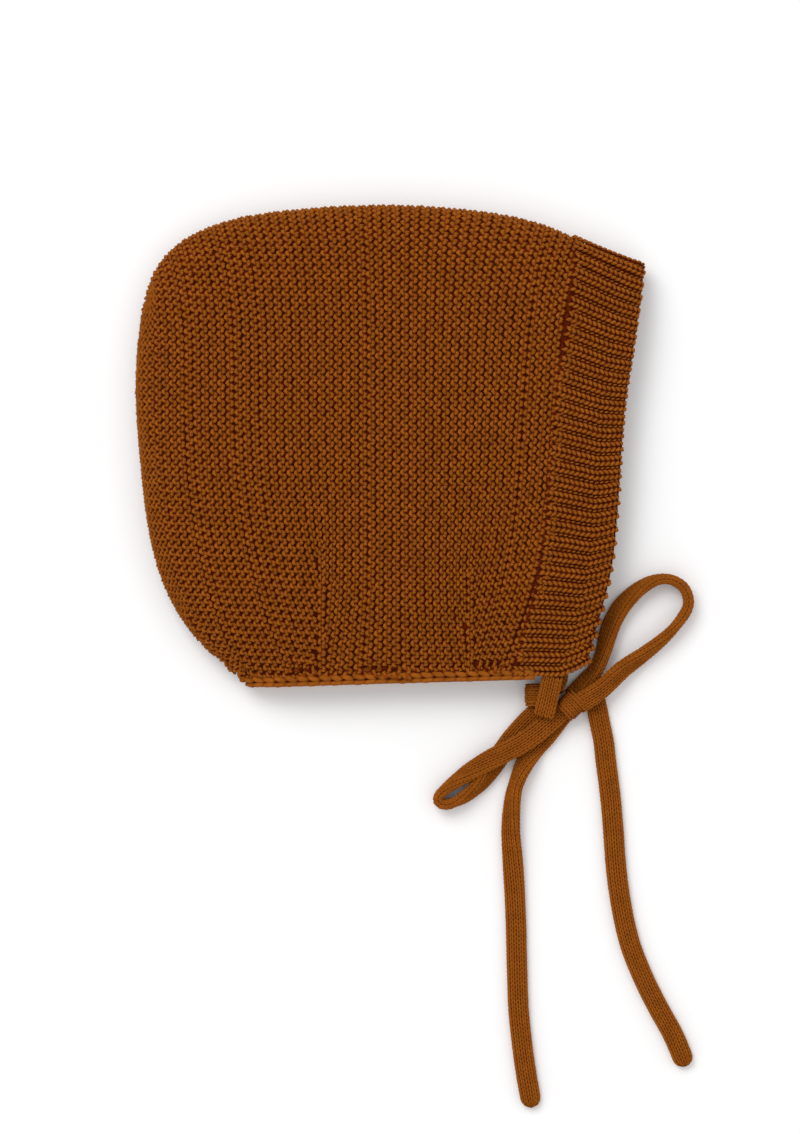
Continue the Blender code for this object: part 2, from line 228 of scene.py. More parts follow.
class BonnetColours(bpy.types.PropertyGroup):
    """Colours of the wool, and the dark colour painted as shade deep between the stitches"""

    wool: FloatVectorProperty(
        name="Wool", description="Colour of the hood's yarn",
        subtype="COLOR", size=3, default=(0.280, 0.079, 0.0075))
    # Painted shade: a dark colour for the wool that lies in shade between and under the stitches
    painted_ground_shade: FloatVectorProperty(
        name="Ground", description="Colour deep between the stitches",
        subtype="COLOR", size=3, default=(0.078, 0.0080, 0.0004))
    tie: FloatVectorProperty(
        name="Tie", description="Colour of the ties' yarn",
        subtype="COLOR", size=3, default=(0.300, 0.088, 0.0080))


class BonnetStage(bpy.types.PropertyGroup):
    """Camera and light over the bonnet"""

    frame_height: FloatProperty(
        name="Frame height", description="Height of the floor that the picture shows",
        default=0.3606, unit="LENGTH")
    camera_height: FloatProperty(
        name="Camera height", description="Height of the camera over the floor",
        default=1.25, unit="LENGTH")
    fill: FloatProperty(
        name="Fill", description="Strength of the even light from all round", default=0.85)
    key: FloatProperty(
        name="Key", description="Power of the large lamp overhead", default=11.0, unit="POWER")


def props(name):
    return getattr(bpy.context.scene, name)


def smoothstep(value):
    value = np.clip(value, 0.0, 1.0)
    return value * value * (3 - 2 * value)


def unit(vectors):
    return vectors / np.maximum(np.linalg.norm(vectors, axis=-1, keepdims=True), 1e-12)


# Stitches: small meshes in flat space, X along the row, Y across it, Z out of the cloth


class Stitch:
    """One stitch as arrays: its places, its faces' corners, and UVs along and round the yarn."""

    def __init__(self, *tubes):
        places, corners, totals, uvs = [], [], [], []
        offset = 0
        for bm, tube_uvs in tubes:
            bm.verts.index_update()
            places.extend(vert.co[:] for vert in bm.verts)
            for face in bm.faces:
                totals.append(len(face.verts))
                corners.extend(vert.index + offset for vert in face.verts)
                uvs.extend(tube_uvs(face))
            offset += len(bm.verts)
            bm.free()
        self.places = np.array(places)
        self.corners = np.array(corners)
        self.totals = np.array(totals)
        self.uvs = np.array(uvs)
        # Each place's share of the stitch's height, by which the yarn material paints shade into the
        # low parts
        rise = self.places[:, 2]
        self.lift = (rise - rise.min()) / (rise.max() - rise.min())


def cylinder(sides, rings, capped):
    """A straight tube of unit radius and length along Z, cut into rings."""
    bm = bmesh.new()
    bmesh.ops.create_cone(bm, cap_ends=capped, cap_tris=False, segments=sides,
                          radius1=1.0, radius2=1.0, depth=1.0)
    lengthwise = [edge for edge in bm.edges
                  if abs(edge.verts[0].co.z - edge.verts[1].co.z) > 0.5]
    bmesh.ops.subdivide_edges(bm, edges=lengthwise, cuts=rings - 1)
    return bm


def tube(path, radii, sides, capped=False):
    """A straight tube made along Z, then bent so that its rings follow the path."""
    path = np.array(path, float)
    rings = len(path) - 1
    tangents = unit(np.gradient(path, axis=0))
    across = unit(np.cross((0.0, 0.0, 1.0), tangents))
    out = np.cross(tangents, across)
    lengths = Strip.lengths(path)
    bm = cylinder(sides, rings, capped)
    around = {}
    for vert in bm.verts:
        ring = round((vert.co.z + 0.5) * rings)
        angle = (math.atan2(vert.co.y, vert.co.x) / math.tau) % 1.0
        side = vert.co.x * across[ring]
        rise = vert.co.y * out[ring]
        vert.co = path[ring] + radii[ring] * (side + rise)
        around[vert.index] = (lengths[ring], angle)

    def uvs(face):
        values = [around[vert.index] for vert in face.verts]
        angles = [angle for _, angle in values]
        wraps = max(angles) - min(angles) > 0.5
        return [(along / MM, angle + 1.0 if wraps and angle < 0.5 else angle)
                for along, angle in values]

    bm.verts.index_update()
    return bm, uvs


def garter_stitch(knit, segments, sides):
    """Two interlocking arcs of a garter ridge over one stitch: each dips under the other's top."""
    pitch = knit.stitch_pitch
    radius = knit.yarn_radius
    turn = np.linspace(-0.5, 0.5, segments + 1)
    wave = np.cos(turn * math.tau)
    sine = np.sin(turn * math.tau)
    reach = knit.ridge_pitch * 0.315
    apart = radius * 0.62
    rise = radius * 1.05
    depth = -(rise + radius * 0.85)
    tubes = []
    for side in (1.0, -1.0):
        along = turn * pitch
        across = side * apart + (reach - apart) * wave + 0.05 * pitch * sine
        out = depth + side * wave * rise
        radii = radius * (0.92 + 0.10 * side * wave)
        tubes.append(tube(np.stack((along, across, out), axis=1), radii, sides))
    return Stitch(*tubes)


def knit_leg_pair(pitch, spread, centre_gap, radius, rise, depth, segments, sides, overlap):
    """The two legs of a knit stitch: a V whose point lies ahead along the row."""
    share = np.linspace(0.0, 1.0, segments + 1)
    swell = np.sin(share * math.pi)
    tubes = []
    for side in (1.0, -1.0):
        along = (share - 0.5) * pitch * overlap
        across = side * (spread + (centre_gap - spread) * smoothstep(share))
        out = depth + rise * swell
        radii = radius * (0.30 + 0.70 * swell ** 0.6)
        tubes.append(tube(np.stack((along, across, out), axis=1), radii, sides, capped=True))
    return Stitch(*tubes)


def slanted_grain(length, slant, radius, rise, depth, segments, sides):
    """One closed grain of yarn laid across its row at a slant."""
    share = np.linspace(0.0, 1.0, segments + 1)
    swell = np.sin(share * math.pi)
    path = np.stack(((share - 0.5) * length, (share - 0.5) * slant, depth + rise * swell), axis=1)
    radii = radius * (0.25 + 0.75 * swell ** 0.6)
    return Stitch(tube(path, radii, sides, capped=True))


def plain_strand(pitch, radius, depth, sides):
    """A length of yarn that runs straight along its row."""
    path = [(-pitch / 2, 0.0, depth), (pitch / 2, 0.0, depth)]
    return Stitch(tube(path, (radius, radius), sides))


# Strips: lines on the cloth that stitches are laid along


class Strip:
    """A smooth line on the cloth with its outward normals, and the room that its stitches have."""

    SPACING = 0.5 * MM
    PAST_END = 3 * MM

    def __init__(self, points, normals, start=0.0, room=None, smoothing=2):
        points = np.array(points, float)
        normals = np.array(normals, float)
        room = np.ones(len(points)) if room is None else np.array(room, float)
        along = self.lengths(points)
        count = max(int(along[-1] / self.SPACING), 4)
        even = np.linspace(0.0, along[-1], count + 1)
        points = self.pick(even, along, points)
        normals = self.pick(even, along, normals)
        self.room = np.interp(even, along, room)
        for _ in range(smoothing):
            points[1:-1] = (points[:-2] + 2 * points[1:-1] + points[2:]) / 4
        for _ in range(smoothing * 4):
            normals[1:-1] = (normals[:-2] + 2 * normals[1:-1] + normals[2:]) / 4
        self.settle(points, normals, self.lengths(points) + start)

    @staticmethod
    def lengths(points):
        steps = np.linalg.norm(np.diff(points, axis=0), axis=1)
        return np.concatenate(([0.0], np.cumsum(steps)))

    @staticmethod
    def pick(at, along, values):
        return np.stack([np.interp(at, along, column) for column in values.T], axis=1)

    @classmethod
    def along_guide(cls, points, normals, along, room):
        """A strip whose stitches keep step with a line beside it."""
        strip = cls.__new__(cls)
        strip.room = room
        strip.settle(points, normals, along)
        return strip

    def settle(self, points, normals, along):
        """Keeps the line, with straight room for a stitch past each of its ends."""
        tangents = unit(np.gradient(points, axis=0))
        self.first, self.last = float(along[0]), float(along[-1])
        self.points = np.concatenate(([points[0] - tangents[0] * self.PAST_END], points,
                                      [points[-1] + tangents[-1] * self.PAST_END]))
        self.along = np.concatenate(([along[0] - self.PAST_END], along,
                                     [along[-1] + self.PAST_END]))
        self.tangents = np.concatenate((tangents[:1], tangents, tangents[-1:]))
        self.normals = np.concatenate((normals[:1], normals, normals[-1:]))
        self.room = np.concatenate((self.room[:1], self.room, self.room[-1:]))
        self.sway = np.zeros(len(self.points))
        self.loft = np.zeros(len(self.points))
        self.fitted = False
        self.spare = 0.0

    def fit(self):
        """Lets its stitches be stretched a little so that whole ones fill it."""
        self.fitted = True
        return self

    def centres(self, pitch):
        """Where the stitches lie along the line, and how far each is stretched.

        Stitches that aren't fitted may have their middles past an end by the spare share of a stitch.
        """
        if self.fitted:
            count = max(round((self.last - self.first) / pitch), 1)
            step = (self.last - self.first) / count
            return self.first + (np.arange(count) + 0.5) * step, step / pitch
        first, last = self.first / pitch - self.spare, self.last / pitch + self.spare
        numbers = np.arange(math.ceil(first), math.floor(last) + 1)
        return numbers * pitch, 1.0

    def loosen(self, rng, pitch, amount):
        """Lets the stitches stray sideways and in height, a little for each half stitch."""
        knots = np.arange(self.along[0], self.along[-1] + pitch, pitch / 2)
        self.sway = np.interp(self.along, knots, rng.normal(0.0, amount, len(knots)))
        self.loft = np.interp(self.along, knots, rng.normal(0.0, amount * 0.7, len(knots)))
        return self

    def bend(self, local):
        """Places on the cloth for places in flat space."""
        at = local[:, 0]
        place = self.pick(at, self.along, self.points)
        tangent = unit(self.pick(at, self.along, self.tangents))
        normal = self.pick(at, self.along, self.normals)
        normal = unit(normal - tangent * np.sum(normal * tangent, axis=1, keepdims=True))
        across = np.cross(normal, tangent)
        room = np.interp(at, self.along, self.room)
        sway = np.interp(at, self.along, self.sway)
        loft = np.interp(at, self.along, self.loft)
        return (place + across * (local[:, 1] * room + sway)[:, None]
                + normal * (local[:, 2] + loft)[:, None])


def joined(name, rows, material, weld=True):
    """One mesh from (stitch, strip, pitch) rows, each stitch repeated along its strip."""
    places, corners, totals, uvs, painted_shade_lifts = [], [], [], [], []
    offset = 0
    for stitch, strip, pitch in rows:
        centres, stretch = strip.centres(pitch)
        count = len(centres)
        if count == 0:
            continue
        local = np.tile(stitch.places, (count, 1))
        local[:, 0] = local[:, 0] * stretch + np.repeat(centres, len(stitch.places))
        places.append(strip.bend(local))
        shifts = np.repeat(np.arange(count) * len(stitch.places), len(stitch.corners))
        corners.append(np.tile(stitch.corners, count) + shifts + offset)
        totals.append(np.tile(stitch.totals, count))
        uvs.append(np.tile(stitch.uvs, (count, 1)))
        painted_shade_lifts.append(np.tile(stitch.lift, count))
        offset += count * len(stitch.places)
    places = np.concatenate(places).astype(np.float32)
    places[:, 2] = np.maximum(places[:, 2], FLOOR_GAP)
    corners = np.concatenate(corners).astype(np.int32)
    totals = np.concatenate(totals)
    starts = np.concatenate(([0], np.cumsum(totals)[:-1])).astype(np.int32)
    mesh = bpy.data.meshes.new(name)
    mesh.vertices.add(len(places))
    mesh.vertices.foreach_set("co", places.ravel())
    mesh.loops.add(len(corners))
    mesh.loops.foreach_set("vertex_index", corners)
    mesh.polygons.add(len(totals))
    mesh.polygons.foreach_set("loop_start", starts)
    mesh.update(calc_edges=True)
    # Each place's share of its stitch's height, which the yarn material uses for painted shade
    lift = mesh.attributes.new("lift", "FLOAT", "POINT")
    lift.data.foreach_set("value", np.concatenate(painted_shade_lifts).astype(np.float32))
    yarn_map = mesh.uv_layers.new(name="yarn")
    yarn_map.uv.foreach_set("vector", np.concatenate(uvs).astype(np.float32).ravel())
    if weld:
        bm = bmesh.new()
        bm.from_mesh(mesh)
        bmesh.ops.remove_doubles(bm, verts=bm.verts, dist=WELD)
        open_edges = [edge for edge in bm.edges if edge.is_boundary]
        bmesh.ops.holes_fill(bm, edges=open_edges, sides=0)
        bm.to_mesh(mesh)
        bm.free()
    return placed(mesh, material)


def placed(mesh, material):
    """A smooth object in the scene from a finished mesh."""
    mesh.shade_smooth()
    mesh.materials.append(material)
    obj = bpy.data.objects.new(mesh.name, mesh)
    bpy.context.scene.collection.objects.link(obj)
    return obj


# Skins: the CAD walls that the stitches lie on


def wall_mesh(*nodes):
    """The CAD walls of some nodes as one welded bmesh."""
    bm = bmesh.new()
    for node in nodes:
        bm.from_mesh(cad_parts[node].data)
    bmesh.ops.remove_doubles(bm, verts=bm.verts, dist=WELD)
    return bm


class Skin:
    """The outer surface of some CAD walls, found by plumb lines from above and below."""

    def __init__(self, *nodes):
        bm = wall_mesh(*nodes)
        bmesh.ops.subdivide_edges(bm, edges=bm.edges, cuts=1, use_grid_fill=True)
        sharp = {vert for edge in bm.edges for vert in edge.verts
                 if edge.is_manifold and edge.calc_face_angle(0.0) > SHARP}
        loose = [vert for vert in bm.verts if vert not in sharp]
        for _ in range(SKIN_SMOOTHINGS):
            bmesh.ops.smooth_vert(bm, verts=loose, factor=0.5,
                                  use_axis_x=True, use_axis_y=True, use_axis_z=True)
        bm.normal_update()
        self.tree = BVHTree.FromBMesh(bm)
        bm.free()

    def plumb(self, x, y, above):
        """Place and normal of the upper or lower layer at a plan point, or None past its edge."""
        start = Vector((x, y, 1.0 if above else -1.0))
        hit, normal, _, _ = self.tree.ray_cast(start, Vector((0.0, 0.0, -1.0 if above else 1.0)))
        if hit is None:
            return None
        if above and hit.z < FOLD_HEIGHT - LAYER_SLACK:
            return None
        if not above and hit.z > FOLD_HEIGHT + LAYER_SLACK:
            return None
        return hit, normal

    def covers(self, x, y):
        return self.plumb(x, y, True) is not None


def edge_between(skin, inside, outside, steps=14):
    """The last plan point that the skin covers on the way from inside to outside."""
    for _ in range(steps):
        middle = (inside + outside) / 2
        if skin.covers(middle.x, middle.y):
            inside = middle
        else:
            outside = middle
    return inside


class PlanMap:
    """The bonnet in plan: its outline, the rib's seam and the neck's edge."""

    def __init__(self):
        self.whole = Skin("hood", "face_rib", "neck_edge")
        self.hood = Skin("hood")
        self.centre = Vector((-5 * MM, 0.0))
        far = 130 * MM
        rim = []
        for step in range(360):
            turn = math.tau * step / 360
            outside = self.centre + Vector((math.cos(turn), math.sin(turn))) * far
            rim.append(edge_between(self.whole, self.centre, outside))
        self.rim = np.array([point[:] for point in rim])
        ahead = np.roll(self.rim, -1, axis=0) - np.roll(self.rim, 1, axis=0)
        self.rim_tangents = unit(ahead)
        seam = []
        low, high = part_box("hood")
        for y in np.linspace(low.y + 2 * MM, high.y, 90):
            inner = Vector((15 * MM, y))
            if self.hood.covers(*inner):
                seam.append(edge_between(self.hood, inner, Vector((95 * MM, y)))[:])
        self.seam = np.array(seam)
        neck = []
        low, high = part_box("neck_edge")
        for x in np.linspace(low.x + 6 * MM, high.x - 0.5 * MM, 40):
            inner = Vector((x, high.y - 1.5 * MM))
            neck.append(edge_between(self.whole, inner, Vector((x, inner.y - 15 * MM)))[:])
        self.neck = np.array(neck)

    def seam_x(self, y):
        return np.interp(y, self.seam[:, 1], self.seam[:, 0])

    def neck_y(self, x):
        return np.interp(x, self.neck[:, 0], self.neck[:, 1])

    def to_rim(self, x, y):
        """Distance from the outline, and the outline's direction there."""
        away = np.hypot(self.rim[:, 0] - x, self.rim[:, 1] - y)
        nearest = int(np.argmin(away))
        return away[nearest], self.rim_tangents[nearest]


# The hood's garter ridges, drawn in plan


def ridge_lean(x, y):
    """Lean of a ridge from the Y axis, in radians, positive towards the face going up."""
    x, y = x / MM, y / MM
    (first_x, first_tip), (second_x, second_tip) = [(a / MM, b / MM) for a, b in DARTS]
    crown = np.clip((y - CROWN_FAN_Y) / CROWN_FAN_HEIGHT, 0.0, 1.2) ** 1.5
    degrees = CROWN_FAN * (x - CROWN_FAN_X) * crown
    degrees += FACE_LEAN * smoothstep((x - FACE_LEAN_X) / FACE_LEAN_WIDTH)
    back = BACK_LEAN * np.clip((BACK_LEAN_Y - y) / BACK_LEAN_HEIGHT, 0.0, 1.1) ** 1.3
    front = FRONT_LEAN * np.clip((FRONT_LEAN_Y - y) / FRONT_LEAN_HEIGHT, 0.0, 1.1) ** 1.2
    first_width = np.clip(y - first_tip, 0.5, 26.0)
    second_width = np.clip(y - second_tip, 0.5, 22.0)
    degrees -= back * (1 - smoothstep((x - first_x + first_width) / (2 * first_width)))
    degrees += front * smoothstep((x - second_x + second_width) / (2 * second_width))
    if first_x < x < second_x:
        between = MIDDLE_LEAN * np.clip((MIDDLE_LEAN_Y - y) / MIDDLE_LEAN_HEIGHT, 0.0, 1.2)
        degrees += between * (1 - 2 * (x - first_x) / (second_x - first_x))
    return math.radians(degrees)


class Ridges:
    """Evenly spaced ridge lines over the hood's plan."""

    STEP = 1.0 * MM
    NEAR = 0.52
    OPEN = 0.86

    def __init__(self, plan, knit):
        self.plan = plan
        self.pitch = knit.ridge_pitch
        self.lines = []
        self.taken = None
        for dart_x, tip in DARTS:
            foot = float(plan.neck_y(dart_x)) + CHAIN_RISE
            ys = np.arange(foot, tip, self.STEP)
            line = np.stack((np.full_like(ys, dart_x), ys), axis=1)
            self.keep(line, ys - tip, (False, False))
        for x in self.seeds():
            self.add(Vector((x, SEED_Y)), 0.0)
        self.fill_gaps()
        self.rooms = self.measure_rooms()

    def seeds(self):
        """Places along the seed row, a ridge pitch apart along the cloth."""
        left = edge_between(self.plan.whole, Vector((0.0, SEED_Y)), Vector((-130 * MM, SEED_Y)))
        xs = left.x + np.concatenate((np.linspace(0.02, 4.0, 40), np.arange(4.25, 160, 0.25))) * MM
        stop = float(self.plan.seam_x(SEED_Y)) - 0.35 * self.pitch
        xs = xs[xs < stop]
        heights = [self.plan.whole.plumb(x, SEED_Y, True)[0].z for x in xs]
        line = np.stack((np.concatenate(([left.x], xs)),
                         np.concatenate(([FOLD_HEIGHT], heights))), axis=1)
        along = Strip.lengths(line)
        places = np.arange(self.pitch / 2, along[-1], self.pitch)
        return np.interp(places, along, line[:, 0])

    def allowed(self, point):
        if not self.plan.whole.covers(point.x, point.y):
            return False
        if point.x > self.plan.seam_x(point.y) - 0.05 * self.pitch:
            return False
        return point.y > self.plan.neck_y(point.x) + CHAIN_RISE

    def heading(self, point, sign):
        lean = ridge_lean(point.x, point.y)
        away, tangent = self.plan.to_rim(point.x, point.y)
        along_rim = tangent if tangent[1] > 0 else -tangent
        rim_lean = math.atan2(along_rim[0], along_rim[1])
        if point.x < 0:
            close = 1 - smoothstep(away / (7 * MM))
            alike = 1 - smoothstep((abs(rim_lean - lean) - math.radians(18)) / math.radians(16))
            lean += (rim_lean - lean) * close * alike
        return Vector((math.sin(lean), math.cos(lean))) * sign

    def crossed_dart(self, before, after):
        for dart_x, tip in DARTS:
            if after.y < tip and (before.x - dart_x) * (after.x - dart_x) <= 0:
                return True
        return False

    def on_cloth(self, x, y):
        found = self.plan.whole.plumb(x, y, True)
        return found[0] if found else Vector((x, y, FOLD_HEIGHT))

    def crowded(self, point):
        if self.taken is None:
            return False
        return self.taken.find(self.on_cloth(point.x, point.y))[2] < self.NEAR * self.pitch

    def walk(self, seed, sign):
        """Plan points from the seed on, and whether the walk ended at the fold."""
        points = []
        here = seed.copy()
        for _ in range(400):
            way = self.heading(here, sign)
            there = here + way * self.STEP
            there = here + (way + self.heading(there, sign)) * (self.STEP / 2)
            if self.crossed_dart(here, there) or self.crowded(there):
                return points, False
            if not self.plan.whole.covers(there.x, there.y):
                rim = edge_between(self.plan.whole, here, there)
                points.append(rim)
                return points, True
            if not self.allowed(there):
                return points, False
            points.append(there)
            here = there
        return points, False

    def add(self, seed, phase):
        up, up_fold = self.walk(seed, 1.0)
        down, down_fold = self.walk(seed, -1.0)
        plan = np.array([point[:] for point in reversed(down)] + [seed[:]] + [p[:] for p in up])
        if len(plan) < 4:
            return False
        along = Strip.lengths(plan)
        along -= along[len(down)] - phase
        self.keep(plan, along, (down_fold, up_fold))
        return True

    def keep(self, plan, along, fold):
        cloth = np.array([self.on_cloth(x, y)[:] for x, y in plan])
        self.lines.append({"plan": plan, "cloth": cloth, "along": along, "fold": fold})
        everything = np.concatenate([line["cloth"] for line in self.lines])
        self.taken = KDTree(len(everything))
        for number, place in enumerate(everything):
            self.taken.insert(place, number)
        self.taken.balance()

    def fill_gaps(self):
        """Starts further ridges wherever the fan leaves room for one."""
        low, high = self.plan.rim.min(axis=0), self.plan.rim.max(axis=0)
        grid = [Vector((x, y)) for x in np.arange(low[0], high[0], 1.3 * MM)
                for y in np.arange(low[1], high[1], 1.3 * MM)]
        middle = self.plan.centre
        for inset in (0.3 * MM, 0.9 * MM):
            for x, y in self.plan.rim:
                rim = Vector((x, y))
                grid.append(rim + (middle - rim).normalized() * inset)
        grid = [point for point in grid if self.allowed(point)]
        spots = np.array([self.on_cloth(point.x, point.y)[:] for point in grid])
        dead = np.zeros(len(spots), bool)
        for _ in range(90):
            away = np.array([self.taken.find(spot)[2] for spot in spots])
            away[dead] = 0.0
            widest = int(np.argmax(away))
            if away[widest] < self.OPEN * self.pitch:
                return
            seed = Vector(spots[widest][:2])
            if not self.add(seed, self.phase_at(seed)):
                dead[np.linalg.norm(spots - spots[widest], axis=1) < 0.5 * self.pitch] = True
            dead[widest] = True

    def phase_at(self, seed):
        best, phase = None, 0.0
        for line in self.lines:
            away = np.hypot(line["plan"][:, 0] - seed.x, line["plan"][:, 1] - seed.y)
            nearest = int(np.argmin(away))
            if best is None or away[nearest] < best:
                best, phase = away[nearest], line["along"][nearest]
        return phase

    def measure_rooms(self):
        """Share of the ridge pitch that each point has between its neighbours."""
        everything = np.concatenate([line["cloth"] for line in self.lines])
        owners = np.concatenate([np.full(len(line["cloth"]), number)
                                 for number, line in enumerate(self.lines)])
        rooms = []
        for number, line in enumerate(self.lines):
            cloth = line["cloth"]
            tangents = unit(np.gradient(cloth, axis=0))
            gaps = everything[None, :, :] - cloth[:, None, :]
            ahead = np.einsum("ijk,ik->ij", gaps, tangents)
            away = np.linalg.norm(gaps - ahead[:, :, None] * tangents[:, None, :], axis=2)
            aside = gaps[:, :, 0] * tangents[:, 1:2] - gaps[:, :, 1] * tangents[:, 0:1]
            other = (owners != number)[None, :] & (np.abs(ahead) < 0.8 * MM)
            right = np.where(other & (aside > 0), away, 1.0).min(axis=1)
            left = np.where(other & (aside < 0), away, 1.0).min(axis=1)
            right = np.where(right > 1.6 * self.pitch, np.minimum(left, self.pitch), right)
            left = np.where(left > 1.6 * self.pitch, np.minimum(right, self.pitch), left)
            room = np.clip((right + left) / 2 / self.pitch, 0.72, 1.25)
            for _ in range(4):
                room[1:-1] = (room[:-2] + 2 * room[1:-1] + room[2:]) / 4
            rooms.append(room)
        return rooms


WRAP_STEPS = np.array([2.4, 1.7, 1.1, 0.6, 0.25, 0.08]) * MM


def cloth_line(skin, line, room, above):
    """A ridge's places and normals on one layer, turned round the fold where it ends there."""
    points, normals, rooms, alongs = [], [], [], []

    def note(x, y, upper, share, along):
        found = skin.plumb(x, y, upper)
        if found is not None:
            points.append(found[0][:])
            normals.append(found[1][:])
            rooms.append(share)
            alongs.append(along)

    plan, along = line["plan"], line["along"]
    first, last = 0, len(plan)
    lower_fold, upper_fold = line["fold"]
    if lower_fold:
        run = plan[3] - plan[0]
        way = run / np.linalg.norm(run)
        wrap_fold(note, points, normals, rooms, alongs, plan[0], way, above, room[0], along[0], True)
        first = int(np.searchsorted(along, along[0] + WRAP_STEPS[0] + 0.3 * MM))
    if upper_fold:
        last = int(np.searchsorted(along, along[-1] - WRAP_STEPS[0] - 0.3 * MM))
    for index in range(first, max(last, first)):
        note(plan[index][0], plan[index][1], above, room[index], along[index])
    if upper_fold:
        run = plan[-4] - plan[-1]
        way = run / np.linalg.norm(run)
        wrap_fold(note, points, normals, rooms, alongs, plan[-1], way, above, room[-1], along[-1],
                  False)
    return np.array(points), np.array(normals), np.array(rooms), np.array(alongs)


def wrap_fold(note, points, normals, rooms, alongs, rim, way, above, room, along, leading):
    """Adds the points that carry a line round the fold, from its layer to the other's edge."""
    order = [(step, above) for step in WRAP_STEPS[:3]]
    if above:
        order += [(step, True) for step in WRAP_STEPS[3:]] + [None]
        order += [(step, False) for step in reversed(WRAP_STEPS[2:])]
    if leading:
        order = list(reversed(order))
    for entry in order:
        if entry is None:
            points.append((rim[0], rim[1], FOLD_HEIGHT))
            normals.append((-way[0], -way[1], 0.0))
            rooms.append(room)
            alongs.append(along)
            continue
        step, upper = entry
        note(rim[0] + way[0] * step, rim[1] + way[1] * step, upper, room, along)


def ridge_strips(skin, ridges, above, rng, knit):
    """A strip for each ridge on one layer, its stitches in step with its neighbours'."""
    strips = []
    for line, room in zip(ridges.lines, ridges.rooms):
        points, normals, rooms, alongs = cloth_line(skin, line, room, above)
        if len(points) < 4:
            continue
        lengths = Strip.lengths(points)
        if lengths[-1] < 1.7 * knit.stitch_pitch:
            continue
        anchor = int(np.argmin(np.abs(alongs)))
        start = alongs[anchor] - lengths[anchor]
        strip = Strip(points, normals, start=start, room=rooms)
        strip.spare = 0.4 if above else 0.0
        strips.append(strip.loosen(rng, knit.stitch_pitch, knit.unevenness))
    return strips


# The ribbed band and the neck's edge


def folded_line(skin, plan, equator):
    """Places and normals along a plan line: over the upper layer, round the fold, back below."""
    covered = [number for number, (x, y) in enumerate(plan) if skin.covers(x, y)]
    first, last = covered[0], covered[-1]
    run = plan[last] - plan[last - 4]
    way = Vector(run / np.linalg.norm(run))
    rim = edge_between(skin, Vector(plan[last]), Vector(plan[last]) + way * 6 * MM)
    inner = [Vector(point) for point in plan[first:last + 1]]
    inner = [point for point in inner if (point - rim).length > WRAP_STEPS[0] + 0.2 * MM]
    inner += [rim - way * step for step in WRAP_STEPS]
    points, normals = [], []
    for above in (True, False):
        for point in inner if above else reversed(inner):
            found = skin.plumb(point.x, point.y, above)
            if found is not None:
                points.append(found[0][:])
                normals.append(found[1][:])
        if above:
            points.append((rim.x, rim.y, equator))
            normals.append((way.x, way.y, 0.0))
    return np.array(points), np.array(normals)


class RibMap:
    """Columns across the ribbed band, and the places of its ribs on them."""

    COLUMNS = (0.05, 0.2, 0.4, 0.6, 0.8, 0.95)

    def __init__(self, knit):
        skin = Skin("face_rib")
        low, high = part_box("face_rib")
        edge, widths = [], []
        for y in np.linspace(low.y + 0.5 * MM, high.y - 0.5 * MM, 120):
            spots = [x for x in np.arange(low.x - MM, high.x + MM, MM) if skin.covers(x, y)]
            if len(spots) < 3:
                continue
            right = edge_between(skin, Vector((spots[-1], y)), Vector((spots[-1] + 2 * MM, y)))
            left = edge_between(skin, Vector((spots[0], y)), Vector((spots[0] - 2 * MM, y)))
            edge.append((y, right.x))
            widths.append(right.x - left.x)
        edge = np.array(edge)
        corner = int(np.argmax(edge[:, 1]))
        self.width = float(np.median(widths))
        self.lines = []
        ys = np.arange(low.y - MM, high.y + 2 * MM, 0.3 * MM)
        edge = edge[:corner + 1]
        above_corner = edge[:, 0] > low.y + 7 * MM
        low_run = edge[above_corner][:16]
        slope, start = np.polyfit(low_run[:, 0], low_run[:, 1], 1)
        face = np.interp(ys, edge[above_corner, 0], edge[above_corner, 1])
        face = np.where(ys < low.y + 7 * MM, start + slope * ys, face)
        for across in self.COLUMNS:
            plan = np.stack((face - self.width * (1 - across), ys), axis=1)
            even = Strip(*folded_line(skin, plan, FOLD_HEIGHT + 0.55 * MM), smoothing=12)
            points, normals = even.points[1:-1], unit(even.normals[1:-1])
            inner = Strip.lengths(points - normals * WALL / 2)
            self.lines.append((points, normals, inner))
        self.ribs = round(float(self.lines[2][2][-1]) / knit.rib_pitch)

    def strip(self, share, reach_back, wrap):
        """A strip across the band at a share of its length, from the hood to round the face edge."""
        points, normals = [], []
        for place, normal, inner in self.lines:
            at = share * inner[-1]
            points.append([np.interp(at, inner, column) for column in place.T])
            normals.append([np.interp(at, inner, column) for column in normal.T])
        points, normals = np.array(points), unit(np.array(normals))
        back = points[0] - unit(points[1] - points[0]) * (reach_back + 0.05 * self.width)
        ahead = unit(points[-1] - points[-2])
        up = normals[-1]
        edge = points[-1] + ahead * 0.05 * self.width
        turn = [(edge - up * 0.25 * WALL, ahead + up), (edge - up * 0.5 * WALL, ahead),
                (edge - up * 0.8 * WALL, ahead - 0.8 * up)][:wrap]
        points = np.concatenate(([back], points, [place for place, _ in turn]))
        normals = np.concatenate(([normals[0]], normals, unit(np.array([n for _, n in turn]))))
        return Strip(points, normals, smoothing=1)


class NeckMap:
    """Lines along the neck's bound-off edge, over both layers."""

    def __init__(self):
        skin = Skin("neck_edge")
        low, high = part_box("neck_edge")
        self.front = high.x
        rows = []
        for x in np.linspace(low.x + 8 * MM, high.x - 0.3 * MM, 30):
            ys = [y for y in np.arange(low.y, high.y, 0.5 * MM) if skin.covers(x, y)]
            if ys:
                outside = Vector((x, ys[0] - 1 * MM))
                rows.append((x, edge_between(skin, Vector((x, ys[0])), outside).y))
        self.slope = np.polyfit(*np.array(rows).T, 1)

    def line(self, rise, ahead=0.0):
        """Places and normals of the line that runs this far over the edge, from ahead of its end."""
        xs = np.arange(self.front - 0.1 * MM, self.front - 130 * MM, -0.5 * MM)
        plan = np.stack((xs, np.polyval(self.slope, xs) + rise), axis=1)
        points, normals = folded_line(plan_map().whole, plan, FOLD_HEIGHT)
        start = points[0] + unit(points[0] - points[6]) * ahead
        return np.concatenate(([start], points[1:])), normals


# The ties


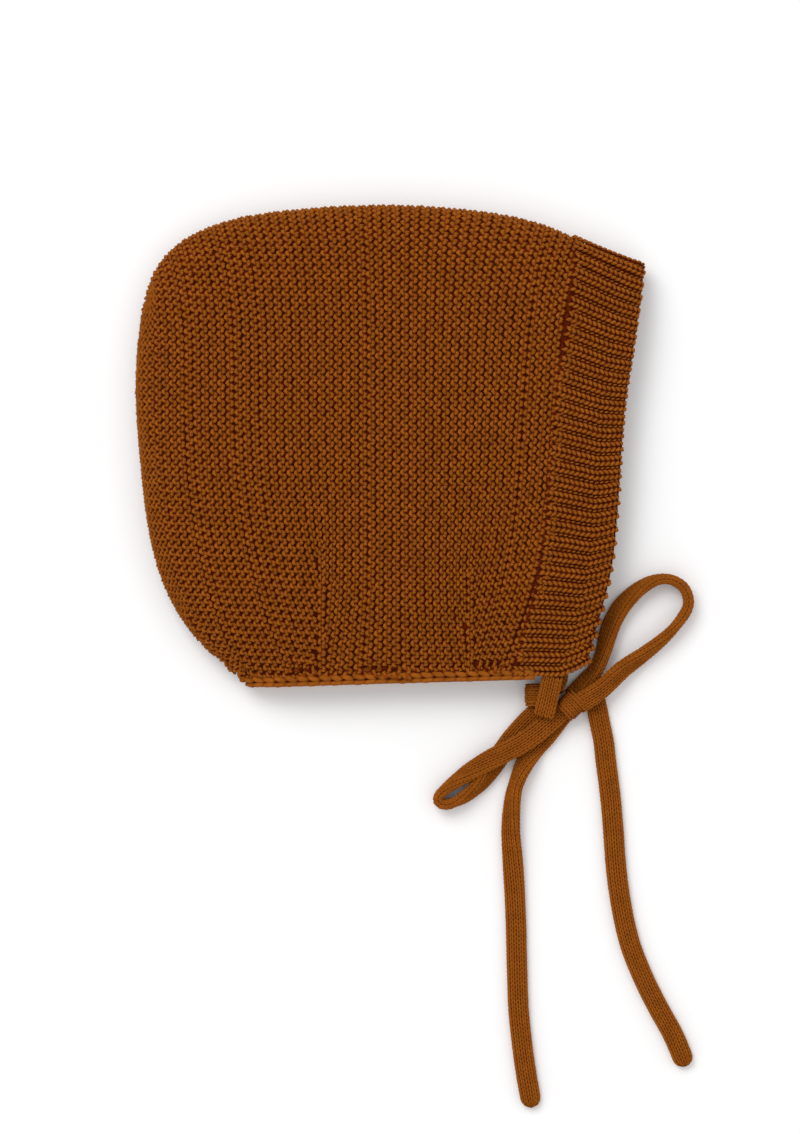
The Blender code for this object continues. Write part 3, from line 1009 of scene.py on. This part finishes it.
def smooth_point(points, span, share):
    """Point on a Catmull-Rom curve through the given points, within one span."""
    before = points[max(span - 1, 0)]
    start = points[span]
    end = points[span + 1]
    after = points[min(span + 2, len(points) - 1)]
    s2 = share * share
    s3 = s2 * share
    return (0.5 * (2 * start + (end - before) * share
                   + (2 * before - 5 * start + 4 * end - after) * s2
                   + (3 * start - before - 3 * end + after) * s3))


class TieLine:
    """A tie's middle line with the directions of its width and thickness."""

    def __init__(self, route, ties, into_knot, tip=False):
        points = np.array(route, float)
        points[:, :3] += KNOT[:]
        line = [smooth_point(points, span, step / 8)
                for span in range(len(points) - 1) for step in range(8)]
        line.append(points[-1])
        line = np.array(line)
        line = np.concatenate(([self.carried_on(line[0], line[1], into_knot)], line))
        if not tip:
            line = np.concatenate((line, [self.carried_on(line[-1], line[-2], into_knot)]))
        along = Strip.lengths(line[:, :3])
        self.length = float(along[-1])
        even = np.linspace(0.0, self.length, max(round(self.length / (0.6 * MM)), 6) + 1)
        line = Strip.pick(even, along, line)
        self.along = even
        self.points = line[:, :3]
        self.tangents = unit(np.gradient(self.points, axis=0))
        tilt = np.radians(line[:, 3])[:, None]
        flat = unit(np.cross((0.0, 0.0, 1.0), self.tangents))
        rise = np.cross(self.tangents, flat)
        self.wide = flat * np.cos(tilt) + rise * np.sin(tilt)
        self.thick = np.cross(self.tangents, self.wide)
        self.flat_half = (ties.width - ties.thickness) / 2
        self.radius = ties.thickness / 2
        self.girth = 4 * self.flat_half + math.tau * self.radius
        self.taper = np.ones(len(even))
        if tip:
            left = np.clip((self.length - even) / (3.4 * MM), 0.0, 1.0)
            self.taper = 0.28 + 0.72 * np.sqrt(1 - (1 - left) ** 2)

    @staticmethod
    def carried_on(end, before, reach):
        """The end of a line moved straight on, to close the gap to the knot."""
        run = end[:3] - before[:3]
        further = end.copy()
        further[:3] += run / np.linalg.norm(run) * reach
        return further

    def section(self, at):
        """Place and normal on the stadium section, at a distance round it from its top middle."""
        at = (at + self.girth / 2) % self.girth - self.girth / 2
        side = 1.0 if at >= 0 else -1.0
        at = abs(at)
        quarter = math.pi * self.radius
        if at < self.flat_half:
            return (side * at, self.radius), (0.0, 1.0)
        if at < self.flat_half + quarter:
            angle = (at - self.flat_half) / self.radius
            out = (side * math.sin(angle), math.cos(angle))
            return (side * self.flat_half + out[0] * self.radius, out[1] * self.radius), out
        return (side * (2 * self.flat_half + quarter - at), -self.radius), (0.0, -1.0)

    def strip(self, at):
        (u, v), (out_u, out_v) = self.section(at)
        taper = self.taper[:, None]
        points = self.points + self.wide * u * taper + self.thick * v * (0.4 + 0.6 * taper)
        normals = self.wide * out_u + self.thick * out_v
        return Strip.along_guide(points, normals, self.along, self.taper)


def tie_core(line, inset, name):
    """The solid middle of a tie, under its stitches."""
    rings = len(line.points) - 1
    bm = cylinder(12, rings, True)
    for vert in bm.verts:
        ring = round((vert.co.z + 0.5) * rings)
        angle = math.atan2(vert.co.x, vert.co.y)
        (u, v), (out_u, out_v) = line.section(angle / math.tau * line.girth)
        taper = line.taper[ring]
        u, v = (u - out_u * inset) * taper, (v - out_v * inset) * (0.4 + 0.6 * taper)
        vert.co = Vector(line.points[ring] + line.wide[ring] * u + line.thick[ring] * v)
    mesh = bpy.data.meshes.new(name)
    bmesh.ops.recalc_face_normals(bm, faces=bm.faces)
    bm.to_mesh(mesh)
    bm.free()
    mesh.shade_smooth()
    return mesh


class BarrelLine:
    """Closed turns of tie round a short barrel that stands for a turn of the knot."""

    def __init__(self, node, turn, ties):
        low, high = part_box(node)
        self.middle = (low + high) / 2
        self.axis = Vector((math.cos(turn), math.sin(turn), 0.0))
        self.side = Vector((-math.sin(turn), math.cos(turn), 0.0))
        self.height = (high.z - low.z) / 2
        extent = Vector((high.x - low.x, high.y - low.y)) / 2
        half = ties.width / 2
        across = extent.x - half * abs(self.axis.x)
        self.reach = across / abs(self.side.x) if abs(self.side.x) > 0.5 else extent.y

    def strip(self, offset, shrink):
        turns = np.linspace(-math.pi / 2, 1.5 * math.pi, 61)
        points, normals = [], []
        for turn in turns:
            way = self.side * math.cos(turn) * self.reach + Vector((0, 0, math.sin(turn) * self.height))
            out = self.side * math.cos(turn) / self.reach + Vector((0, 0, math.sin(turn) / self.height))
            points.append((self.middle + self.axis * offset + way * shrink)[:])
            normals.append(out.normalized()[:])
        return Strip(points, normals, smoothing=0)


# Materials


def new_material(name, sockets):
    """A material's node tree and its shader, with these values on the shader's sockets."""
    material = bpy.data.materials.new(name)
    material.use_nodes = True
    shader = material.node_tree.nodes["Principled BSDF"]
    for socket, value in sockets.items():
        shader.inputs[socket].default_value = value
    return material, shader


def add_node(material, kind, inputs, **settings):
    """A node whose inputs take a value or another node's output."""
    node = material.node_tree.nodes.new("ShaderNode" + kind)
    for name, value in settings.items():
        setattr(node, name, value)
    for name, value in inputs.items():
        if isinstance(value, bpy.types.NodeSocket):
            material.node_tree.links.new(value, node.inputs[name])
        else:
            node.inputs[name].default_value = value
    return node


def colour_ramp(material, factor, low, high):
    """A ramp between two (position, colour) ends."""
    node = add_node(material, "ValToRGB", {"Fac": factor})
    for end, (position, colour) in zip(node.color_ramp.elements, (low, high)):
        end.position = position
        end.color = (*colour, 1.0)
    return node.outputs["Color"]


def yarn_material(name, colour, fleck, ply_depth=0.5):
    """Plied wool: uneven dye, twisted plies along the yarn and fine fibres, with shade painted into the
    low parts of each stitch.
    """
    ply_length = 1.9
    material, shader = new_material(name, {
        "Roughness": 0.88, "Specular IOR Level": 0.10, "Specular Tint": (1.0, 0.55, 0.20, 1.0),
        "Sheen Weight": 0.12, "Sheen Roughness": 0.45, "Sheen Tint": (1.0, 0.50, 0.14, 1.0)})
    links = material.node_tree.links
    place = add_node(material, "TexCoord", {}).outputs["Object"]
    dye = add_node(material, "TexNoise", {"Scale": 330.0, "Detail": 3.0, "Vector": place})
    pale = tuple(min(channel * (1 + fleck), 1.0) for channel in colour)
    dark = tuple(channel * (1 - fleck) for channel in colour)
    dyed = colour_ramp(material, dye.outputs["Fac"], (0.34, dark), (0.66, pale))
    # Painted shade: the low parts of each stitch, by their lift, are mixed towards a dark, redder
    # colour
    lift = add_node(material, "Attribute", {}, attribute_name="lift")
    shade = add_node(material, "MapRange", {"From Min": 0.12, "From Max": 0.85,
                                            "Value": lift.outputs["Fac"]})
    painted_shade_colour = (*(c * s for c, s in zip(colour, (0.62, 0.19, 0.03))), 1.0)
    deep = add_node(material, "Mix", {"A": painted_shade_colour, "Factor": shade.outputs["Result"], "B": dyed},
                    data_type="RGBA")
    links.new(deep.outputs["Result"], shader.inputs["Base Color"])

    yarn = add_node(material, "UVMap", {}, uv_map="yarn").outputs["UV"]
    split = add_node(material, "SeparateXYZ", {"Vector": yarn}).outputs
    along = add_node(material, "Math", {0: split["X"], 1: math.tau / ply_length}, operation="MULTIPLY")
    around = add_node(material, "Math", {0: split["Y"], 1: math.tau * 3}, operation="MULTIPLY")
    phase = add_node(material, "Math", {0: along.outputs["Value"], 1: around.outputs["Value"]},
                     operation="ADD")
    plies = add_node(material, "Math", {0: phase.outputs["Value"]}, operation="SINE")
    ply_bump = add_node(material, "Bump", {"Strength": ply_depth, "Distance": 0.00008,
                                           "Height": plies.outputs["Value"]})
    fibres = add_node(material, "TexNoise", {"Scale": 3200.0, "Detail": 2.0, "Vector": place})
    bump = add_node(material, "Bump", {"Strength": 0.45, "Distance": 0.00012,
                                       "Height": fibres.outputs["Fac"],
                                       "Normal": ply_bump.outputs["Normal"]})
    links.new(bump.outputs["Normal"], shader.inputs["Normal"])
    return material


def painted_ground_shade_material(name, colour):
    """Painted shade for the wool deep in the knitting and inside the bonnet: a dark colour pebbled by
    the backs of the stitches, painted darker between the pebbles.
    """
    material, shader = new_material(name, {
        "Roughness": 0.95, "Specular IOR Level": 0.05, "Sheen Weight": 0.05,
        "Sheen Tint": (1.0, 0.40, 0.10, 1.0)})
    links = material.node_tree.links
    place = add_node(material, "TexCoord", {}).outputs["Object"]
    pebbles = add_node(material, "TexVoronoi", {"Scale": 520.0, "Randomness": 0.55, "Vector": place})
    away = pebbles.outputs["Distance"]
    # Painted shade: the pebbles' middles lighter, the crevices between them darker
    pale = tuple(min(channel * 1.5, 1.0) for channel in colour)
    dark = tuple(channel * 0.6 for channel in colour)
    links.new(colour_ramp(material, away, (0.15, pale), (0.75, dark)), shader.inputs["Base Color"])
    bump = add_node(material, "Bump", {"Strength": 0.8, "Distance": 0.0006, "Height": away},
                    invert=True)
    links.new(bump.outputs["Normal"], shader.inputs["Normal"])
    return material


def shared_material(name, make):
    return bpy.data.materials.get(name) or make()


def wool():
    return shared_material("wool_yarn", lambda: yarn_material(
        "wool_yarn", props("bonnet_colours").wool, 0.16))


def painted_ground_shade():
    return shared_material("wool_painted_ground_shade", lambda: painted_ground_shade_material(
        "wool_painted_ground_shade", props("bonnet_colours").painted_ground_shade))


def tie_wool():
    return shared_material("tie_yarn", lambda: yarn_material(
        "tie_yarn", props("bonnet_colours").tie, 0.12, ply_depth=0.35))


def tie_painted_ground_shade():
    # Painted shade under the ties' stitches, a little lighter than the hood's
    return shared_material("tie_painted_ground_shade", lambda: painted_ground_shade_material(
        "tie_painted_ground_shade", tuple(c * 1.4 for c in props("bonnet_colours").painted_ground_shade)))


def core(name, node, sink, material):
    """A CAD wall drawn in under its stitches, coloured with a painted shade material where it shows
    between them.
    """
    bm = wall_mesh(node)
    bm.normal_update()
    moves = [(vert, vert.co - vert.normal * sink) for vert in bm.verts]
    for vert, place in moves:
        vert.co = place
    mesh = bpy.data.meshes.new(name)
    bm.to_mesh(mesh)
    bm.free()
    return placed(mesh, material)


def seam_fill(name, lines, node):
    """Wool that carries on from one wall to the next along a seam, in the dark colour painted as shade
    in the seam's hollow.
    """
    strand = plain_strand(2 * MM, 1.30 * MM, -2.35 * MM, 8)
    rows = []
    for points, normals in lines:
        for layer in (normals[:, 2] > 0.6, normals[:, 2] < -0.6):
            rows.append((strand, Strip(points[layer], normals[layer]).fit(), 2 * MM))
    return dress(joined(name, rows, painted_ground_shade()), "wool", node)


def dress(obj, slot, *nodes):
    """Makes a finished piece ride with the bonnet and stand for its CAD nodes."""
    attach(obj, "root")
    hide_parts(*nodes)
    return obj


plan_cache = {}


def plan_map():
    if "plan" not in plan_cache:
        plan_cache["plan"] = PlanMap()
    return plan_cache["plan"]


def ridge_map():
    if "ridges" not in plan_cache:
        plan_cache["ridges"] = Ridges(plan_map(), props("bonnet_knit"))
    return plan_cache["ridges"]


class BONNET_OT_hood(bpy.types.Operator):
    """Knit the garter-stitch hood, both its layers and the fold between them"""

    bl_idname = "bonnet.hood"
    bl_label = "Hood"

    def execute(self, context):
        knit = props("bonnet_knit")
        rng = np.random.default_rng(11)
        # The hood's core shows the painted shade colour between the stitches and inside the bonnet
        dress(core("hood_painted_ground_shade", "hood", 1.35 * MM, painted_ground_shade()), "wool", "hood")
        over = ridge_strips(plan_map().whole, ridge_map(), True, rng, knit)
        under = ridge_strips(plan_map().whole, ridge_map(), False, rng, knit)
        fine = garter_stitch(knit, 6, 5)
        coarse = garter_stitch(knit, 5, 3)
        for name, strips, stitch, share in (("hood_over", over, fine, 3),
                                            ("hood_under", under, coarse, 2)):
            strips.sort(key=lambda strip: float(strip.points[:, 0].mean()))
            total = sum(strip.along[-1] - strip.along[0] for strip in strips)
            bins = [[] for _ in range(share)]
            done = 0.0
            for strip in strips:
                bins[min(int(done / total * share), share - 1)].append(strip)
                done += strip.along[-1] - strip.along[0]
            for number, group in enumerate(bins, 1):
                rows = [(stitch, strip, knit.stitch_pitch) for strip in group]
                dress(joined(f"{name}_{number}", rows, wool()), "wool", "hood")
        return {"FINISHED"}


class BONNET_OT_rib(bpy.types.Operator):
    """Knit the ribbed band round the face"""

    bl_idname = "bonnet.rib"
    bl_label = "Face rib"

    def execute(self, context):
        knit = props("bonnet_knit")
        rng = np.random.default_rng(5)
        rib = RibMap(knit)
        dress(core("rib_painted_ground_shade", "face_rib", 1.25 * MM, painted_ground_shade()), "wool", "face_rib")
        legs = knit_leg_pair(knit.rib_stitch, 1.45 * MM, 0.34 * MM, 0.58 * MM, 0.60 * MM,
                             -1.12 * MM, 3, 5, overlap=1.25)
        dots = slanted_grain(1.5 * MM, 0.5 * MM, 0.42 * MM, 0.2 * MM, -1.15 * MM, 3, 4)
        rows = []
        for number in range(rib.ribs):
            crest = rib.strip((number + 0.5) / rib.ribs, 2.4 * MM, 3).fit()
            rows.append((legs, crest.loosen(rng, knit.rib_stitch, 0.07 * MM), knit.rib_stitch))
        for number in range(1, rib.ribs):
            valley = rib.strip(number / rib.ribs, 1.2 * MM, 2).fit()
            rows.append((dots, valley.loosen(rng, knit.rib_stitch, 0.05 * MM), knit.rib_stitch))
        dress(joined("rib_knit", rows, wool(), weld=False), "wool", "face_rib")
        points, normals, _ = rib.lines[0]
        aside = unit(np.cross(normals, np.gradient(points, axis=0)))
        lines = [(points + aside * offset * MM, normals) for offset in (-0.4, 1.3, 3.0)]
        seam_fill("rib_seam", lines, "face_rib")
        return {"FINISHED"}


class BONNET_OT_neck(bpy.types.Operator):
    """Bind off the neck: two rows of slanted stitches over smooth strands at the edge"""

    bl_idname = "bonnet.neck"
    bl_label = "Neck edge"

    def execute(self, context):
        neck = NeckMap()
        rng = np.random.default_rng(7)
        dress(core("neck_painted_ground_shade", "neck_edge", 1.0 * MM, painted_ground_shade()), "wool", "neck_edge")
        leaf = slanted_grain(4.4 * MM, -1.1 * MM, 0.95 * MM, 0.45 * MM, -1.0 * MM, 6, 6)
        lower = slanted_grain(4.7 * MM, 0.6 * MM, 0.84 * MM, 0.30 * MM, -0.80 * MM, 6, 6)
        strand = plain_strand(1.2 * MM, 0.72 * MM, -0.6 * MM, 8)
        rows = []
        for stitch, rise in ((leaf, 2.7), (lower, 1.1)):
            chain = Strip(*neck.line(rise * MM, CHAIN_REACH)).fit()
            rows.append((stitch, chain.loosen(rng, CHAIN_STITCH, 0.1 * MM), CHAIN_STITCH))
        points, normals = neck.line(0.8 * MM, CHAIN_REACH)
        down = np.array((0.0, -1.0, 0.0))
        for rise, tip, sink in ((0.0, 0.4, 0.4), (0.35, 1.0, 0.9), (0.45, 3.0, 2.1)):
            shifted = points + down * rise * MM - normals * sink * MM
            tilted = unit(normals + down * tip)
            rows.append((strand, Strip(shifted, tilted).fit(), 1.2 * MM))
        dress(joined("neck_knit", rows, wool()), "wool", "neck_edge")
        seam_fill("neck_seam", [neck.line(rise * MM) for rise in (3.2, 4.8, 6.4)], "neck_edge")
        return {"FINISHED"}


def wales(line, ties, rng, pitch, stitch):
    rows = []
    for number in range(ties.wales):
        strip = line.strip((number + 0.5) * line.girth / ties.wales)
        rows.append((stitch, strip.loosen(rng, pitch, 0.03 * MM), pitch))
    return rows


def tie_stitch(ties):
    half = (2 * (ties.width - ties.thickness) + math.pi * ties.thickness) / ties.wales / 2
    return knit_leg_pair(ties.stitch, half * 0.74, half * 0.26, 0.40 * MM, 0.22 * MM,
                         -0.42 * MM, 3, 4, overlap=1.7)


class BONNET_OT_ties(bpy.types.Operator):
    """Knit the bow's loops and tails and the stretches from the bonnet to the knot"""

    bl_idname = "bonnet.ties"
    bl_label = "Ties"

    def execute(self, context):
        ties = props("bonnet_ties")
        rng = np.random.default_rng(3)
        stitch = tie_stitch(ties)
        cords = (
            ("loop_right", LOOP_RIGHT_ROUTE, "object", 2.2),
            ("loop_left", LOOP_LEFT_ROUTE, "object", 1.8),
            ("tail_right", TAIL_RIGHT_ROUTE, "bare", 2.0),
            ("tail_left", TAIL_LEFT_ROUTE, "bare", 1.8),
            ("tie_near", TIE_NEAR_ROUTE, None, 0.9),
            ("tie_far", TIE_FAR_ROUTE, None, 0.9),
        )
        for node, route, far_end, into_knot in cords:
            line = TieLine(route, ties, into_knot * MM, tip=far_end == "bare")
            piece = joined(f"{node}_knit", wales(line, ties, rng, ties.stitch, stitch), tie_wool(),
                           weld=False)
            under = tie_core(line, 0.5 * MM, f"{node}_core")
            bm = bmesh.new()
            bm.from_mesh(piece.data)
            first = len(bm.faces)
            bm.from_mesh(under)
            bm.faces.ensure_lookup_table()
            for face in bm.faces[first:]:
                face.material_index = 1
            bm.to_mesh(piece.data)
            bm.free()
            piece.data.materials.append(tie_painted_ground_shade())
            dress(piece, "tie", node)
        return {"FINISHED"}


class BONNET_OT_knot(bpy.types.Operator):
    """Wrap the knot: the turn of the bow and the turn of the half knot behind it"""

    bl_idname = "bonnet.knot"
    bl_label = "Knot"

    def execute(self, context):
        ties = props("bonnet_ties")
        rng = np.random.default_rng(9)
        stitch = tie_stitch(ties)
        for node, turn in (("bow_wrap", math.radians(44)), ("half_knot", math.radians(90))):
            # The knot's core shows the painted shade colour between its stitches
            dress(core(f"{node}_core", node, 0.5 * MM, tie_painted_ground_shade()), "tie", node)
            barrel = BarrelLine(node, turn, ties)
            rows = []
            for offset, shrink in ((-2.75, 0.93), (-1.5, 1.0), (0.0, 1.0), (1.5, 1.0), (2.75, 0.93)):
                strip = barrel.strip(offset * MM, shrink).fit()
                rows.append((stitch, strip.loosen(rng, ties.stitch, 0.03 * MM), ties.stitch))
            dress(joined(f"{node}_knit", rows, tie_wool(), weld=False), "tie", node)
        return {"FINISHED"}


class BONNET_OT_stage(bpy.types.Operator):
    """Lay the floor, light it and set the camera straight above"""

    bl_idname = "bonnet.stage"
    bl_label = "Stage"

    def execute(self, context):
        stage = props("bonnet_stage")
        scene = context.scene
        bm = bmesh.new()
        bmesh.ops.create_grid(bm, x_segments=1, y_segments=1, size=3.0)
        mesh = bpy.data.meshes.new("floor")
        bm.to_mesh(mesh)
        bm.free()
        paper, _ = new_material("pale_paper", {
            "Base Color": (0.93, 0.93, 0.93, 1.0), "Roughness": 1.0, "Specular IOR Level": 0.0})
        mesh.materials.append(paper)
        floor = bpy.data.objects.new("floor", mesh)
        scene.collection.objects.link(floor)

        world = bpy.data.worlds.new("studio")
        world.use_nodes = True
        background = world.node_tree.nodes["Background"]
        background.inputs["Color"].default_value = (1.0, 1.0, 1.0, 1.0)
        background.inputs["Strength"].default_value = stage.fill
        scene.world = world

        lamp = bpy.data.lights.new("overhead", "AREA")
        lamp.shape = "SQUARE"
        lamp.size = 0.9
        lamp.energy = stage.key
        key = bpy.data.objects.new("overhead", lamp)
        key.location = (-0.55, 0.75, 1.3)
        key.rotation_euler = Vector((0.55, -0.75, -1.3)).to_track_quat("-Z", "Y").to_euler()
        scene.collection.objects.link(key)

        data = bpy.data.cameras.new("camera")
        data.sensor_width = 36.0
        middle_height = 0.008
        data.lens = data.sensor_width * (stage.camera_height - middle_height) / stage.frame_height
        camera = bpy.data.objects.new("camera", data)
        camera.location = (0.0032, -0.0383, stage.camera_height)
        scene.collection.objects.link(camera)
        scene.camera = camera
        scene.view_settings.view_transform = "Standard"
        return {"FINISHED"}


class BONNET_PT_panel(bpy.types.Panel):
    """Buttons that knit the bonnet piece by piece"""

    bl_idname = "BONNET_PT_panel"
    bl_label = "Baby Bonnet"
    bl_space_type = "VIEW_3D"
    bl_region_type = "UI"
    bl_category = "Bonnet"

    def draw(self, context):
        for group in GROUPS:
            box = self.layout.box()
            settings = getattr(context.scene, group)
            for name in settings.bl_rna.properties.keys():
                if name not in ("rna_type", "name"):
                    box.prop(settings, name)
        for operator in OPERATORS:
            self.layout.operator(operator.bl_idname)


GROUPS = {
    "bonnet_knit": BonnetKnit,
    "bonnet_ties": BonnetTies,
    "bonnet_colours": BonnetColours,
    "bonnet_stage": BonnetStage,
}
OPERATORS = (BONNET_OT_stage, BONNET_OT_ties, BONNET_OT_knot, BONNET_OT_hood, BONNET_OT_rib,
             BONNET_OT_neck)


def register():
    for name, group in GROUPS.items():
        bpy.utils.register_class(group)
        setattr(bpy.types.Scene, name, PointerProperty(type=group))
    for operator in OPERATORS:
        bpy.utils.register_class(operator)
    bpy.utils.register_class(BONNET_PT_panel)


def unregister():
    bpy.utils.unregister_class(BONNET_PT_panel)
    for operator in reversed(OPERATORS):
        bpy.utils.unregister_class(operator)
    for name, group in reversed(GROUPS.items()):
        delattr(bpy.types.Scene, name)
        bpy.utils.unregister_class(group)


def main():
    register()
    bpy.ops.bonnet.stage()
    bpy.ops.bonnet.ties()
    bpy.ops.bonnet.knot()
    bpy.ops.bonnet.hood()
    bpy.ops.bonnet.rib()
    bpy.ops.bonnet.neck()


if __name__ == "__main__":
    main()
